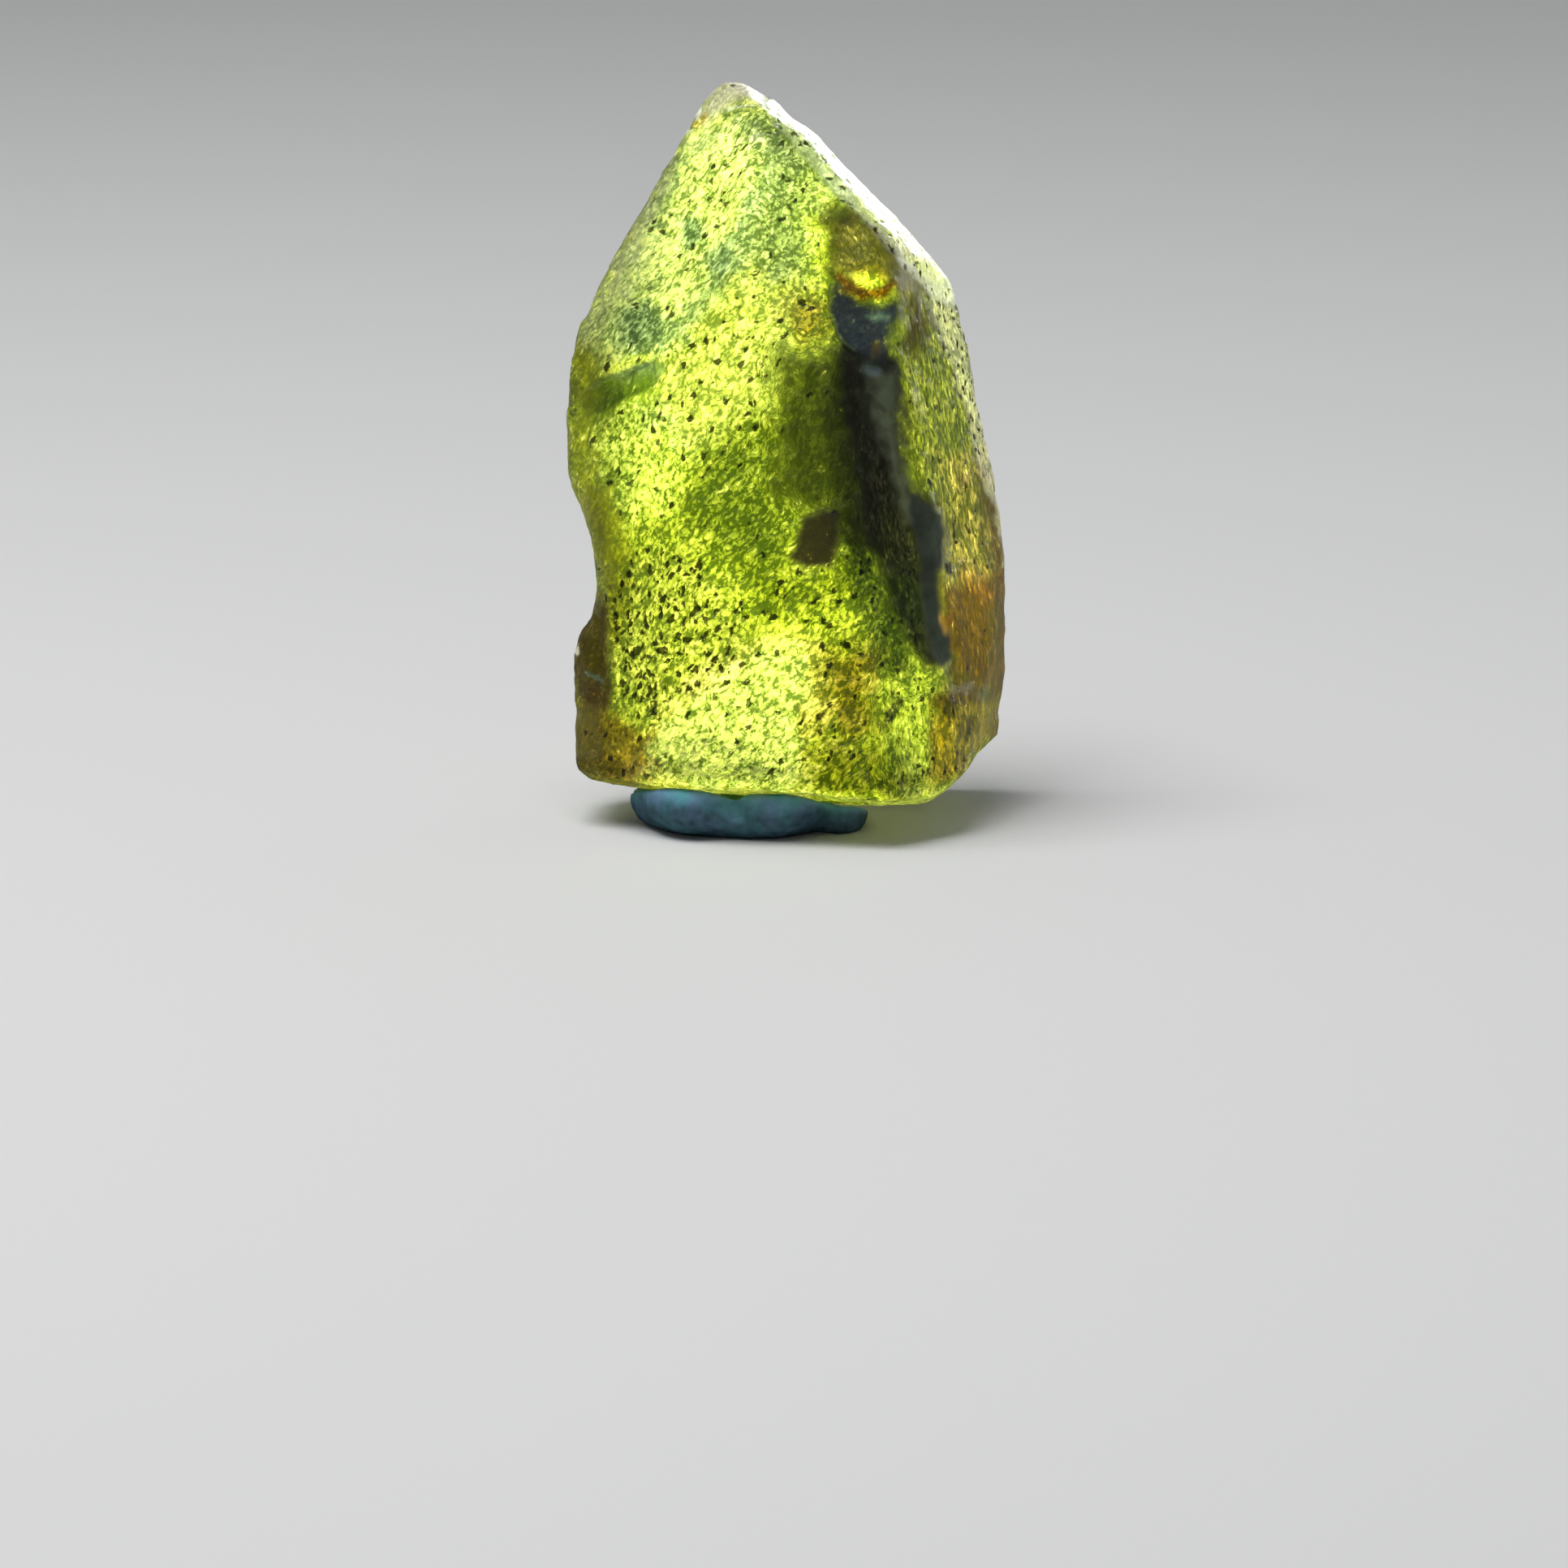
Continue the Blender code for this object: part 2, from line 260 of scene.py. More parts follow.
# Broken edges: the points that they run through, which way the skin drops, how far, and how soon it is
# level again
crystalSteps = {
    "left ledge": (((-9.9, 0.1, 21.3), (-8.2, -1.2, 22.3), (-6.6, -2.1, 23.1)), (0, 0, -1), 0.34, 1.5),
    "cavity's left rim": (
        ((1.9, -1.9, 26.9), (2.0, -2.3, 25.2), (2.7, -2.8, 24.0), (3.4, -2.9, 23.4)),
        (1, 0, 0.4), 0.4, 1.2),
    "cavity's top": (((1.9, -1.9, 26.9), (3.4, -1.2, 26.3), (5.3, -0.9, 26.6)), (0, 0, -1), 0.35, 1.0),
    "tip's line": (((-3.1, 4.2, 34.8), (-2.0, 3.6, 35.1), (-1.2, 3.5, 35.1)), (0, -0.3, -1), 0.14, 0.5),
    "line under the tip": (
        ((-2.0, 2.1, 33.5), (-1.1, 2.2, 33.8), (-0.2, 2.3, 33.9)),
        (0, -0.3, -1), 0.14, 0.5),
    "low right edge": (((6.9, -4.4, 7.4), (6.8, -4.7, 5.0), (6.7, -4.9, 2.8)), (1, 0, 0), 0.2, 0.8),
}

# What the skin looks like in places on the front. Outlines are in the picture's plane, in millimetres across
# and up from its middle, and edge is how soft they are. The tint multiplies the light that the skin lets
# through:
# it is the crystal's own colour in places, and painted glow and painted shade where more or less light comes
# through from behind. texture says how calm, how specked and how upright in its grain the skin is, and the
# veil's colour is the skin's own colour in places and painted shade, painted highlights and painted
# reflections in others, of which the share veil is seen.

crystalZones = {
    # painted glow, and a pale painted sheen, on the upper left face
    "upper left face": {"edge": 0.8, "tintLightAndShade": (1.176, 1.2, 4.81), "texture": (0, 0.12, 0),
        "stainShadeAndSheen": (0.75, 0.9, 0.7), "veil": 0.12,
        "outline": ((-3.92, 32.24), (-2.44, 32.64), (-0.84, 31.04), (-1.36, 28.24), (-2.44, 25.44),
                    (-3.44, 24.04), (-5.24, 22.04), (-6.64, 20.56), (-8.96, 20.32), (-9.24, 22.64),
                    (-7.84, 25.92), (-6.16, 29.12))},
    "crown": {"edge": 0.8, "tintLightAndShade": (0.65, 0.7, 2.5), "texture": (0.05, 0.1, 0),
        "stainShadeAndSheen": (0.6, 0.75, 0.6), "veil": 0.06,
        "outline": ((-2.44, 33.24), (-0.64, 33.52), (1.36, 31.24), (3.36, 29.04), (1.76, 28.16),
                    (1.36, 25.44), (-0.24, 24.84), (-2.04, 25.84), (-1.24, 28.24), (-0.84, 30.84))},
    "glow under the tip": {"edge": 0.6, "tintLightAndShade": (1.25, 1.2, 2.6),
        "outline": ((-4.16, 30.96), (-3.12, 31.6), (-2.32, 30.44), (-2.64, 28.44), (-3.92, 26.96),
                    (-5.12, 27.04), (-4.96, 29.04))},
    "right of the crown": {"edge": 0.6, "tintLightAndShade": (1.15, 1.15, 0.8),
        "outline": ((0.76, 31.04), (2.56, 29.64), (2.96, 27.64), (2.56, 25.44), (1.36, 25.44),
                    (0.36, 27.84))},
    "front upper": {"edge": 0.8, "tintLightAndShade": (1, 0.97, 2.4), "texture": (0.15, 0.28, 0),
        "outline": ((-2.04, 25.44), (0.36, 25.04), (1.36, 24.64), (0.36, 21.04), (-1.44, 17.84),
                    (-4.24, 16.24), (-6.64, 17.84), (-6.4, 19.84), (-4.96, 21.84), (-3.24, 23.76))},
    "left of the front": {"edge": 0.8, "tintLightAndShade": (1.11, 1.194, 2.178), "texture": (0, 0.25, 0),
        "outline": ((-9.76, 18.04), (-6.64, 19.12), (-4.64, 16.84), (-5.44, 13.84), (-7.64, 13.04),
                    (-9.24, 14.24))},
    "middle of the front": {"edge": 1.6, "tintLightAndShade": (0.399, 0.422, 0.42), "texture": (0, 0.1, 0),
        "outline": ((-4.64, 16.24), (-0.24, 18.64), (0.96, 14.64), (0.56, 10.64), (-2.64, 11.04),
                    (-5.44, 12.64))},
    "waist": {"edge": 0.6, "tintLightAndShade": (0.675, 0.616, 0.08), "texture": (0.6, 0.1, 0),
        "outline": ((-9.68, 15.04), (-8.32, 14.64), (-7.64, 11.04), (-8.04, 6.64), (-8.96, 7.04),
                    (-9.24, 10.64), (-9.92, 13.44))},
    "specks": {"edge": 1, "tintLightAndShade": (0.86, 0.82, 1.32), "texture": (0, 1, 0),
        "outline": ((-7.84, 11.04), (-5.04, 11.84), (-2.44, 9.24), (-1.44, 6.64), (-3.44, 4.64),
                    (-6.64, 3.44), (-8.44, 5.44), (-8.56, 9.04))},
    "centre": {"edge": 1.4, "tintLightAndShade": (0.55, 0.56, 0.3), "texture": (0, 0.3, 0),
        "outline": ((-2.64, 11.04), (0.56, 10.64), (3.76, 11.04), (4.56, 9.04), (1.76, 8.24), (-1.44, 7.84))},
    # painted glow where the most light comes through low in the front, with a pale veil
    "low glow": {"edge": 1.4, "tintLightAndShade": (2.011, 1.442, 5.46), "texture": (0, 0.12, 0),
        "stainShadeAndSheen": (1, 1, 0.75), "veil": 0.09,
        "outline": ((-3.44, 5.44), (-0.84, 6.64), (1.36, 6.64), (1.36, 3.84), (0.36, 1.64), (0.76, 0.04),
                    (-4.24, -0.08), (-7.04, 0.84), (-5.44, 3.44))},
    "gold speckle": {"edge": 1.4, "tintLightAndShade": (0.475, 0.331, 0.277), "texture": (0, 0.5, 0),
        "outline": ((1.76, 6.64), (3.76, 7.44), (4.96, 6.64), (4.76, 2.44), (2.56, 1.64), (1.56, 3.44))},
    "right of the foot": {"edge": 0.5, "tintLightAndShade": (0.7, 0.65, 0.3),
        "outline": ((0.96, 1.64), (4.56, 1.64), (6.96, 0.04), (5.76, -0.76), (1.76, -0.08))},
    "lime low": {"edge": 0.5, "tintLightAndShade": (0.903, 0.957, 0.897), "texture": (0, 0.3, 0.5),
        "outline": ((4.76, 7.84), (6.16, 7.04), (7.2, 4.64), (7.16, 0.24), (5.76, -0.36), (4.36, 0.64),
                    (4.48, 4.24))},
    "right face": {"edge": 0.3, "tintLightAndShade": (0.526, 0.482, 0.65), "texture": (0, 0.1, 1),
        "outline": ((5.68, 21.84), (6.96, 24.24), (8.36, 20.64), (9.76, 16.24), (10.96, 11.04), (10.96, 4.24),
                    (7.2, 3.84), (8.16, 6.64), (7.36, 8.24), (7.96, 10.64), (7.76, 13.04), (6.48, 14.64),
                    (5.76, 17.04))},
    "gold on the right": {"edge": 0.9, "tintLightAndShade": (1.32, 1, 1.82), "texture": (0, 0.4, 1),
        "outline": ((7.96, 16.24), (9.56, 16.24), (10.24, 13.04), (10.36, 9.24), (8.16, 9.24),
                    (7.96, 12.64))},
    "amber right": {"edge": 1, "tintLightAndShade": (0.748, 0.388, 0.058), "texture": (0.3, 0.1, 1),
        "outline": ((7.76, 9.52), (10.88, 10.64), (10.96, 4.64), (8.56, 4.32), (8, 6.64))},
    "low right": {"edge": 0.5, "tintLightAndShade": (0.806, 0.508, 0.132), "texture": (0.1, 0.3, 0.7),
        "outline": ((7.12, 4.24), (8.16, 4.64), (10.64, 4.64), (10.64, 2.44), (9.56, 0.64), (7.76, -0.24),
                    (7.12, 0.24))},
    # painted shade that fades from the dark face into the front
    "soft shade": {"edge": 1.3, "tintLightAndShade": (0.102, 0.11, 0.144), "texture": (0.35, 0.1, 0.3),
        "outline": ((-0.24, 21.04), (2.56, 22.04), (5.36, 21.04), (5.56, 14.64), (4.96, 11.84), (3.36, 10.64),
                    (1.96, 12.24), (-0.04, 14.64), (-0.64, 18.24))},
    "soft shade, right": {"edge": 0.7, "tintLightAndShade": (0.3, 0.3, 0.3),
        "outline": ((2.56, 21.64), (5.36, 21.04), (5.56, 14.64), (4.76, 11.44), (3.76, 11.04), (2.96, 13.04),
                    (2.16, 16.24), (2, 19.84))},
    "soft shade, lower": {"edge": 1.2, "tintLightAndShade": (0.2, 0.24, 0.14), "texture": (0, 0.4, 0),
        "outline": ((2.96, 12.24), (4.96, 11.04), (6.16, 7.84), (6.56, 5.44), (4.96, 5.44), (4.16, 7.84),
                    (3.36, 10.24))},
    # painted sheen: a pale veil along the upper left edges
    "upper left sheen": {"edge": 1.3, "tintLightAndShade": (1, 1, 1.3), "texture": (0.45, 0, 0),
        "stainShadeAndSheen": (0.589, 0.57, 0.528), "veil": 0.45,
        "outline": ((-3.44, 34.44), (-5.12, 32.64), (-7.24, 29.04), (-9.24, 25.04), (-10.44, 21.84),
                    (-9.76, 21.64), (-9.04, 23.24), (-7.64, 25.92), (-6.32, 28.16), (-5.12, 30.44),
                    (-3.44, 32.64))},
    "left haze": {"edge": 0.9, "tintLightAndShade": (0.7, 0.7, 0.1), "texture": (0.4, 0.1, 0),
        "stainShadeAndSheen": (0.246, 0.24, 0.011), "veil": 0.5,
        "outline": ((-10.44, 21.84), (-9.44, 21.64), (-8.72, 20.84), (-8.96, 17.84), (-9.12, 15.44),
                    (-8.96, 12.64), (-8.36, 9.44), (-9.44, 9.44), (-10.64, 16.24))},
    "dark spot, upper left": {"edge": 0.45, "tintLightAndShade": (0.4, 0.5, 0.9),
        "outline": ((-5.12, 27.76), (-4.32, 28.16), (-3.76, 27.36), (-4, 26.56), (-4.8, 26.4))},
    "spot by the ridge": {"edge": 0.5, "tintLightAndShade": (0.6, 0.66, 0.8),
        "outline": ((-3.76, 26.16), (-2.84, 26.96), (-2.44, 26.04), (-3.04, 24.84), (-3.76, 25.04))},
    # painted shade on the shoulder
    "shade on the shoulder": {"edge": 0.7, "tintLightAndShade": (0.4, 0.5, 0.6),
        "outline": ((-8.16, 23.24), (-6.64, 23.76), (-5.84, 22.84), (-6.16, 21.52), (-7.44, 21.04),
                    (-8.44, 21.84))},
    "shade on the ridge": {"edge": 0.6, "tintLightAndShade": (0.6, 0.7, 1), "texture": (0.1, 0, 0),
        "outline": ((-0.84, 30.64), (-1.44, 28.16), (-2.44, 25.36), (-3.44, 23.92), (-5.2, 21.92),
                    (-6.64, 20.32), (-7.64, 20.16), (-6.64, 21.36), (-4.84, 23.24), (-3.44, 25.04),
                    (-2.44, 27.24), (-1.64, 29.24))},
    # painted highlight along the ledge's upper edge, and painted shade on the ledge and under it
    "highlight over the ledge": {"edge": 0.12, "tintLightAndShade": (1.8, 1.6, 0.6),
        "outline": ((-8.96, 20.32), (-7.84, 21.04), (-6.4, 21.2), (-6.64, 20.8), (-7.64, 20.56),
                    (-8.72, 20.08))},
    "ledge": {"edge": 0.15, "tintLightAndShade": (0.425, 0.512, 0.65), "texture": (0.6, 0, 0),
        "outline": ((-10, 19.2), (-8.84, 20.12), (-7.64, 20.52), (-6.48, 20.8), (-5.76, 20.72), (-6.4, 19.6),
                    (-7.6, 19.04), (-8.84, 18.44), (-9.76, 18.04))},
    "shade under the ledge": {"edge": 0.5, "tintLightAndShade": (0.55, 0.64, 0.4), "texture": (0.5, 0, 0),
        "outline": ((-10, 18.64), (-8.64, 19.44), (-6.64, 20.16), (-5.84, 19.84), (-7.04, 18.64),
                    (-9.04, 17.76), (-10.08, 17.44))},
    "amber corner": {"edge": 0.9, "tintLightAndShade": (0.7, 0.43, 0.006), "texture": (0.3, 0.2, 0),
        "outline": ((-10.64, 4.64), (-9.04, 4.56), (-8.04, 3.04), (-6.64, 2.44), (-6.72, 1.04),
                    (-7.04, -0.24), (-10.64, -0.16))},
    "olive streaks": {"edge": 0.55, "tintLightAndShade": (0.308, 0.236, 0.429), "texture": (0.25, 0, 1),
        "outline": ((2.16, 27.92), (3.16, 28.64), (4.56, 27.64), (5.68, 26.64), (6.96, 24.64), (7.36, 22.64),
                    (6.56, 20.84), (5.68, 21.44), (5.68, 23.44), (5.28, 24.64), (3.76, 24.84),
                    (2.32, 25.24))},
    "dark line by the crown": {"edge": 0.35, "tintLightAndShade": (0.45, 0.45, 0.6),
        "outline": ((1.76, 28.64), (2.96, 28.44), (3.36, 27.64), (2.72, 27.04), (2.64, 24.84), (2.08, 25.04),
                    (2.08, 27.04))},
    "grey spot": {"edge": 0.45, "stainShadeAndSheen": (0.077, 0.085, 0.046), "veil": 0.6, "texture": (0.7, 0, 0),
        "outline": ((4.64, 26.8), (5.36, 26.8), (6.48, 25.64), (6.88, 24.56), (6.24, 24.56), (5.2, 25.44))},
    "bright lump": {"edge": 0.3, "tintLightAndShade": (3, 2.7, 1.4), "texture": (0, 0, 0),
        "outline": ((3.52, 25.28), (4.48, 25.52), (5.04, 25.04), (4.88, 24.56), (4.08, 24.32), (3.6, 24.64))},
    "amber left of the cavity": {"edge": 0.9, "tintLightAndShade": (0.55, 0.4, 0.25),
        "outline": ((-0.04, 23.64), (1.36, 24.16), (2.24, 23.92), (2.24, 22.44), (0.96, 22.04),
                    (-0.04, 22.64))},
    # painted shade in the hollow, with a painted blue-grey reflection
    "cavity": {"edge": 0.45,
        "stainShadeAndSheen": (0.035, 0.042, 0.08), "veil": 0.94, "texture": (0.4, 0, 0), "tintLightAndShade": (0.3, 0.32, 0.3),
        "outline": ((2.4, 24.88), (3.04, 24.56), (3.76, 24), (4.72, 23.76), (5.52, 23.92), (5.76, 23.28),
                    (5.44, 22.44), (5.12, 21.44), (5.52, 20.44), (5.68, 19.04), (4.56, 19.04), (3.44, 20.84),
                    (2.72, 22.16), (2.36, 23.24))},
    "cavity's orange rim": {"edge": 0.25, "tintLightAndShade": (0.8, 0.3, 0.1),
        "stainShadeAndSheen": (0.198, 0.0484, 0.0088), "veil": 0.5,
        "outline": ((2.4, 24.96), (2.8, 25.2), (3.6, 24.56), (4.4, 24.32), (5.28, 24.84), (5.6, 24.72),
                    (5.04, 24.08), (3.92, 23.92), (3.04, 24.4))},
    # painted shade: the narrow dark face between the front and the right side, brown and green in places
    "shaded strip": {"edge": 0.4, "tintLightAndShade": (0.12, 0.12, 0.12),
        "stainShadeAndSheen": (0.031, 0.029, 0.021), "veil": 0.7, "texture": (0.1, 0.1, 0.7),
        "outline": ((2.96, 21.44), (3.92, 21.04), (5.2, 20.84), (5.68, 20.24), (5.84, 17.04), (6.08, 15.04),
                    (7.36, 13.84), (7.92, 12.64), (7.92, 11.04), (7.6, 9.44), (7.44, 8.16), (8.08, 7.04),
                    (8, 6.16), (7.36, 5.68), (6.4, 6.64), (5.52, 8.16), (4.88, 10.44), (4, 12.84),
                    (3.52, 16.04), (3.12, 18.64))},
    "strip, brown": {"edge": 0.6, "stainShadeAndSheen": (0.037, 0.031, 0.02), "veil": 0.7, "texture": (0, 0.1, 0.8),
        "outline": ((3.84, 16.24), (5.36, 16.04), (6.08, 14.64), (6.24, 11.04), (5.36, 9.84), (4.64, 12.24))},
    "strip, green foot": {"edge": 0.6,
        "stainShadeAndSheen": (0.04, 0.053, 0.026), "veil": 0.35, "texture": (0, 0.3, 1),
        "outline": ((5.16, 10.64), (6.56, 10.64), (6.96, 8.24), (6.76, 6.64), (5.84, 7.04))},
    # painted shade, with a painted blue-grey reflection, in the lane down the dark face
    "shaded lane with blue sheen, upper": {"edge": 0.5,
        "stainShadeAndSheen": (0.052, 0.063, 0.034), "veil": 0.9, "texture": (0.95, 0, 0),
        "outline": ((3.84, 20.44), (5.52, 20.24), (5.68, 17.84), (5.84, 15.84), (6.4, 14.4), (6.56, 12.44),
                    (6, 12.84), (5.44, 14.64), (4.72, 17.04))},
    "shaded lane with blue sheen": {"edge": 0.25, "stainShadeAndSheen": (0.014, 0.019, 0.012), "veil": 1, "texture": (1, 0, 0),
        "outline": ((6.16, 14.64), (7.04, 13.76), (7.76, 13.2), (7.96, 12.16), (7.76, 11.04), (7.52, 10.16),
                    (7.6, 9.12), (7.92, 8.04), (8.36, 7.24), (8.24, 6.32), (7.76, 5.68), (7.36, 6.16),
                    (6.96, 7.44), (6.72, 9.04), (6.64, 11.04), (6.24, 12.64))},
    "brown square": {"edge": 0.3,
        "stainShadeAndSheen": (0.04, 0.034, 0.011), "veil": 0.8, "texture": (0.7, 0, 0), "tintLightAndShade": (0.15, 0.12, 0.05),
        "outline": ((0.88, 13.04), (1.96, 13.44), (2.8, 13.2), (2.72, 11.76), (2.32, 10.76), (1.16, 10.72),
                    (0.4, 11.12), (0.72, 12.08))},
    "cavity glint": {"edge": 0.2, "stainShadeAndSheen": (0.121, 0.22, 0.264), "veil": 0.7,
        "outline": ((4.08, 23.12), (4.72, 23.36), (5.2, 23.12), (5.04, 22.84), (4.32, 22.8))},
    "glint under the cavity": {"edge": 0.2, "stainShadeAndSheen": (0.11, 0.154, 0.176), "veil": 0.7,
        "outline": ((3.84, 20.56), (4.24, 20.8), (4.8, 20.4), (4.56, 20.08), (4.08, 20.24))},
    "red in the cavity": {"edge": 0.2, "stainShadeAndSheen": (0.132, 0.066, 0.044), "veil": 0.6,
        "outline": ((4.32, 21.68), (4.72, 21.84), (4.72, 21.2), (4.44, 21.04))},
    "orange spot": {"edge": 0.3, "tintLightAndShade": (1.3, 0.8, 0.3), "stainShadeAndSheen": (0.3, 0.12, 0.015), "veil": 0.15,
        "outline": ((7.84, 8.32), (8.24, 8.4), (8.36, 7.92), (8, 7.6))},
    "brown spot on the right": {"edge": 0.12, "stainShadeAndSheen": (0.264, 0.176, 0.044), "veil": 0.8,
        "outline": ((8.56, 15.28), (9.12, 15.28), (9.2, 14.64), (8.72, 14.56))},
    "black chip on the right": {"edge": 0.08, "stainShadeAndSheen": (0.022, 0.022, 0.011), "veil": 1,
        "outline": ((7.88, 10.88), (8.24, 10.96), (8.32, 10.4), (7.96, 10.32))},
    "dark dashes": {"edge": 0.12, "stainShadeAndSheen": (0.0264, 0.0308, 0.011), "veil": 0.85,
        "outline": ((4.96, 3.44), (5.68, 4.4), (6, 4.16), (5.36, 3.12), (4.96, 2.88))},
    "dark soft spot, low right": {"edge": 0.3, "tintLightAndShade": (0.4, 0.42, 0.4),
        "outline": ((7.6, 4.16), (8.4, 4.16), (8.56, 3.36), (8, 3.04), (7.56, 3.44))},
    "second soft spot, low right": {"edge": 0.35, "tintLightAndShade": (0.45, 0.45, 0.4),
        "outline": ((8.64, 3.24), (9.52, 3.44), (9.68, 2.44), (8.88, 2.16))},
    "green spot": {"edge": 0.2, "stainShadeAndSheen": (0.077, 0.121, 0.044), "veil": 0.3,
        "outline": ((9.6, 4.8), (10.24, 4.8), (10.24, 3.92), (9.6, 4))},
    "right edge": {"edge": 0.5, "tintLightAndShade": (0.4, 0.3, 0.15), "texture": (0.3, 0.1, 1),
        "stainShadeAndSheen": (0.106, 0.057, 0.009), "veil": 0.45,
        "outline": ((9.56, 16.24), (10.24, 15.04), (10.8, 11.44), (11.44, 11.04), (11.44, 2.64),
                    (10.36, 1.64), (10.64, 4.24), (10.64, 8.24), (10.08, 11.44))},
    # painted reflection along the right rim, where the skin turns away
    "right rim reflection": {"edge": 0.25, "stainShadeAndSheen": (0.7, 0.6, 0.58), "veil": 0.25, "texture": (0.3, 0.3, 1),
        "outline": ((10.08, 16.44), (10.64, 14.64), (11.12, 11.04), (10.8, 10.84), (10.4, 13.64),
                    (9.76, 16.04))},
    # painted reflection, mottled, in a band down the right edge
    "mottled sheen band": {"edge": 0.22, "tintLightAndShade": (0.8, 0.75, 2.2), "texture": (0.2, 0.9, 1),
        "stainShadeAndSheen": (0.85, 0.74, 0.62), "veil": 0.34,
        "outline": ((7.04, 24.84), (8.36, 24.64), (8.96, 21.84), (9.96, 17.84), (10.96, 14.24), (10.4, 13.84),
                    (9.6, 15.64), (8.96, 18.24), (8.24, 20.64), (7.28, 22.64))},
    # the bevel: a frosted skin, painted white as a highlight where light glances off it
    "bevel": {"edge": 0.15, "tintLightAndShade": (1, 1, 3), "texture": (0.45, 0.6, 0.5),
        "stainShadeAndSheen": (1, 0.98, 0.97), "veil": 0.3,
        "outline": ((-1.2, 34.8), (-0.16, 34.72), (3.84, 31.2), (6.64, 27.92), (8.64, 25.12), (8.48, 23.44),
                    (7.04, 24.16), (6.36, 25.04), (4.76, 26.76), (3.44, 28.16), (2.08, 29.52), (0.76, 31.12),
                    (-0.44, 32.64))},
    "pink on the bevel": {"edge": 0.4, "stainShadeAndSheen": (0.75, 0.5, 0.5), "veil": 0.28,
        "outline": ((4.76, 28.16), (5.76, 27.84), (7.36, 25.92), (7.36, 24.84), (6.16, 26.04),
                    (5.36, 27.04))},
    "tip": {"edge": 0.35, "tintLightAndShade": (0.9, 0.8, 2.2), "texture": (0.4, 0.1, 0),
        "stainShadeAndSheen": (1, 0.88, 0.84), "veil": 0.6,
        "outline": ((-3.76, 33.76), (-2.64, 34.96), (-1.44, 34.96), (-0.56, 34.32), (-0.96, 33.76),
                    (-2.04, 33.68), (-2.8, 33.36), (-3.76, 32.64), (-4.24, 32.8))},
    "pale skin under the tip": {"edge": 0.6, "stainShadeAndSheen": (0.4, 0.44, 0.3), "veil": 0.38,
        "outline": ((-3.76, 32.64), (-2.64, 33.52), (-0.64, 33.92), (0.76, 32.24), (1.76, 30.64),
                    (0.76, 30.04), (-0.64, 31.24), (-2.44, 31.04), (-4.16, 30.64))},
    "orange by the tip": {"edge": 0.15, "stainShadeAndSheen": (0.5, 0.22, 0.07), "veil": 0.6,
        "outline": ((-4.56, 32.64), (-3.92, 33.12), (-3.68, 32.8), (-4.16, 32.32), (-4.56, 32.24))},
    "nub": {"edge": 0.3, "tintLightAndShade": (0.35, 0.26, 0.12), "texture": (0.45, 0.1, 0),
        "stainShadeAndSheen": (0.048, 0.028, 0.005), "veil": 0.6,
        "outline": ((-10.64, 8.24), (-10.16, 9.24), (-9.24, 9.68), (-8.64, 8.84), (-8.56, 4.64), (-8.84, 3.6),
                    (-9.84, 3.76), (-10.56, 5.44))},
    "fin over the nub": {"edge": 0.15,
        "stainShadeAndSheen": (0.264, 0.242, 0.176), "veil": 0.12, "texture": (0.3, 0.1, 0),
        "outline": ((-9.76, 9.24), (-9.44, 10.96), (-8.96, 11.04), (-8.88, 9.24), (-9.12, 8.24))},
    "flange under the nub": {"edge": 0.25, "tintLightAndShade": (0.5, 0.5, 0.3), "texture": (0.5, 0.1, 0),
        "stainShadeAndSheen": (0.22, 0.176, 0.011), "veil": 0.2,
        "outline": ((-10.4, 3.84), (-9.12, 3.92), (-8.96, 1.24), (-10.32, 1.04))},
}

# Fine lines and chips on the front: half width, colour (their own, and on the nub a painted highlight), how
# much of it is seen, and the line
crystalLines = {
    "line at the tip": (0.07, (0.85, 0.84, 0.8), 0.95, ((-2.76, 33.32), (-1.92, 33.56), (-0.96, 33.68))),
    "line under the tip": (0.06, (0.65, 0.66, 0.58), 0.85, ((-1.6, 31.76), (-0.96, 32.12), (0, 32.32))),
    "chip on the left edge": (0.1, (0.85, 0.85, 0.82), 0.95, ((-4.96, 32.08), (-4.64, 32.32))),
    "upper chip on the left edge": (0.08, (0.8, 0.78, 0.74), 0.9, ((-4.36, 32.8), (-4.16, 33.12))),
    "light on the nub": (0.07, (0.4, 0.38, 0.32), 0.8,
        ((-9.84, 8.96), (-10.24, 8.16), (-10.32, 7.04), (-10.2, 6.4))),
    "glint on the nub": (0.1, (0.1, 0.16, 0.13), 0.6, ((-9.76, 5.44), (-9.04, 5.04))),
    "crack in the front": (0.035, (0.08, 0.1, 0.02), 0.8, ((-2.52, 21.76), (-2.32, 22.44), (-2.16, 23.44))),
    "second crack in the front": (0.03, (0.08, 0.1, 0.02), 0.7, ((-2.32, 22.72), (-1.76, 23.12))),
    "long fleck": (0.07, (0.03, 0.04, 0.01), 0.9, ((-3.12, 16.16), (-2.64, 16.84))),
    "second long fleck": (0.06, (0.03, 0.04, 0.01), 0.85, ((-2.16, 16.32), (-1.76, 16.72))),
    "third long fleck": (0.06, (0.03, 0.04, 0.01), 0.85, ((-4.16, 15.04), (-3.6, 15.68))),
    "rim of the cavity": (0.05, (0.16, 0.22, 0.12), 0.7,
        ((2.24, 24.56), (2.4, 23.24), (2.72, 22.32), (3.2, 21.68), (3.6, 21.36))),
}


